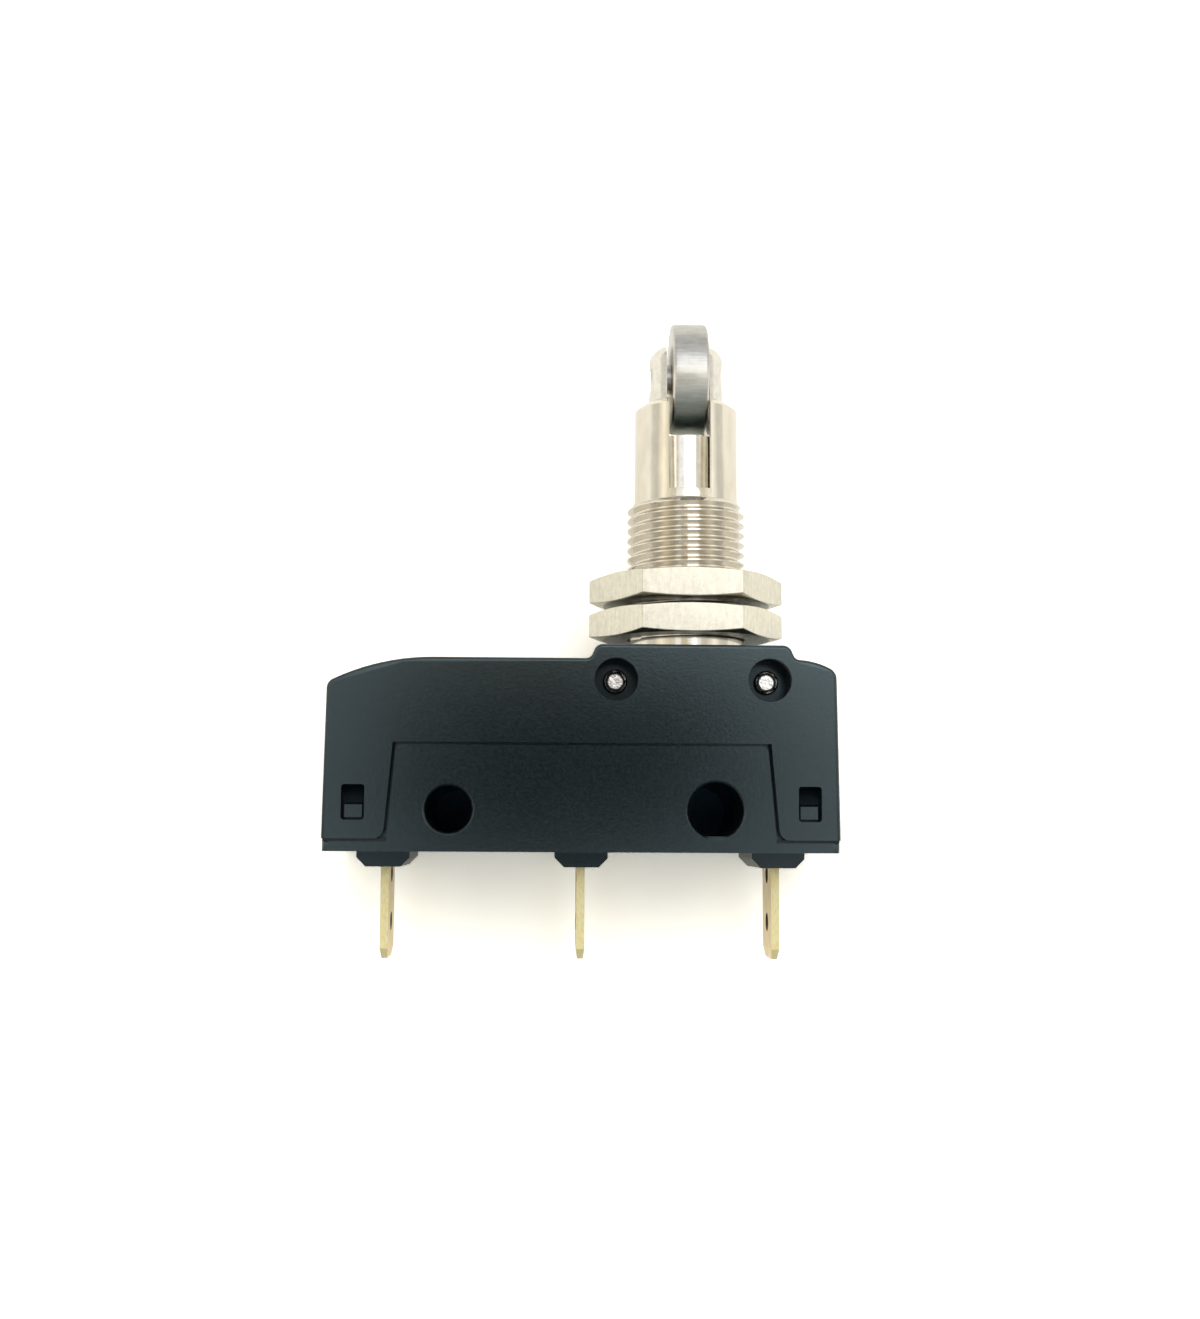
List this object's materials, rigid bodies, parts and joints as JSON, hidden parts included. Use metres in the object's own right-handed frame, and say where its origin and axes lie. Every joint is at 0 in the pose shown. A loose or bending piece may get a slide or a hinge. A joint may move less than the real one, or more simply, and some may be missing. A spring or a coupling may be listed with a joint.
{
  "type": "roller plunger micro switch",
  "caption": "Panel-mount snap-action switch: a moulded housing snapped over a switch case, with a threaded bush, roller plunger, thin nuts and flat tabs.",
  "frame": {"origin": "centre of the left mounting hole, at half the body's thickness", "axes": "+X along the body towards the second mounting hole, -Y out of the front face, +Z along the plunger towards the roller"},
  "size_m": [0.0492, 0.0176, 0.0642],
  "materials": {
    "black_moulding": "fine-grained matte black moulding",
    "nickel_plated_brass": "bright nickel plate on turned brass",
    "brushed_nickel_nut": "fine-brushed nickel plate",
    "roller_steel": "turned steel with fine circumferential lines",
    "rivet_steel": "bright clenched rivet ends",
    "spring_steel": "plain spring wire and rings",
    "tab_brass": "stamped bright brass",
    "blade_bronze": "rolled spring bronze",
    "contact_silver": "silver contact face",
    "button_moulding": "plain red moulding, hidden in use"
  },
  "bodies": {
    "switch_body": {"actuator_housing": "black_moulding", "switch_case": "black_moulding", "switch_cover": "black_moulding", "threaded_bush": "nickel_plated_brass", "rivet_left": "rivet_steel", "rivet_right": "rivet_steel", "spring_seat": "spring_steel", "seat_snap_ring": "spring_steel", "return_spring": "spring_steel", "normally_open_contact": "contact_silver", "normally_closed_contact": "contact_silver", "common_terminal": "tab_brass", "normally_open_terminal": "tab_brass", "normally_closed_terminal": "tab_brass"},
    "plunger_group": {"plunger": "nickel_plated_brass", "roller_axle": "roller_steel", "stop_ring": "spring_steel", "overtravel_spring": "spring_steel"},
    "roller_group": {"roller": "roller_steel"},
    "pusher_group": {"pusher": "spring_steel"},
    "button_group": {"switch_button": "button_moulding"},
    "blade_group": {"snap_blade": "blade_bronze", "snap_leaf": "blade_bronze", "moving_contact": "contact_silver"},
    "lower_nut_group": {"lower_panel_nut": "brushed_nickel_nut"},
    "upper_nut_group": {"upper_panel_nut": "brushed_nickel_nut"}
  },
  "joints": [
    {"name": "plunger_slide", "type": "slide", "parent": "switch_body", "child": "plunger_group", "axis": [0, 0, -1], "range_m": [0, 0.0055], "stiffness_N_per_m": 500, "springref_m": -0.004, "deforming": ["return_spring"]},
    {"name": "roller_spin", "type": "hinge", "parent": "plunger_group", "child": "roller_group", "pos_m": [0.02325, 0, 0.04418], "axis": [1, 0, 0], "continuous": true},
    {"name": "pusher_slide", "type": "slide", "parent": "plunger_group", "child": "pusher_group", "axis": [0, 0, 1], "range_m": [0, 0.00483], "deforming": ["overtravel_spring"]},
    {"name": "button_slide", "type": "slide", "parent": "switch_body", "child": "button_group", "axis": [0, 0, -1], "range_m": [0, 0.00042]},
    {"name": "blade_snap", "type": "hinge", "parent": "switch_body", "child": "blade_group", "pos_m": [-0.0053, 0, 0.00622], "axis": [0, 1, 0], "range_deg": [0, 0.8429]},
    {"name": "lower_nut_travel", "type": "slide", "parent": "switch_body", "child": "lower_nut_group", "axis": [0, 0, 1], "range_m": [-0.0012, 0]},
    {"name": "upper_nut_travel", "type": "slide", "parent": "switch_body", "child": "upper_nut_group", "axis": [0, 0, 1], "range_m": [0, 0.0075]}
  ],
  "couplings": [
    {"joint": "pusher_slide", "follows": "plunger_slide", "ratio": 0.87809},
    {"joint": "button_slide", "follows": "plunger_slide", "ratio": 0.076356},
    {"joint": "blade_snap", "follows": "plunger_slide", "rad_per_m": 2.6745}
  ]
}
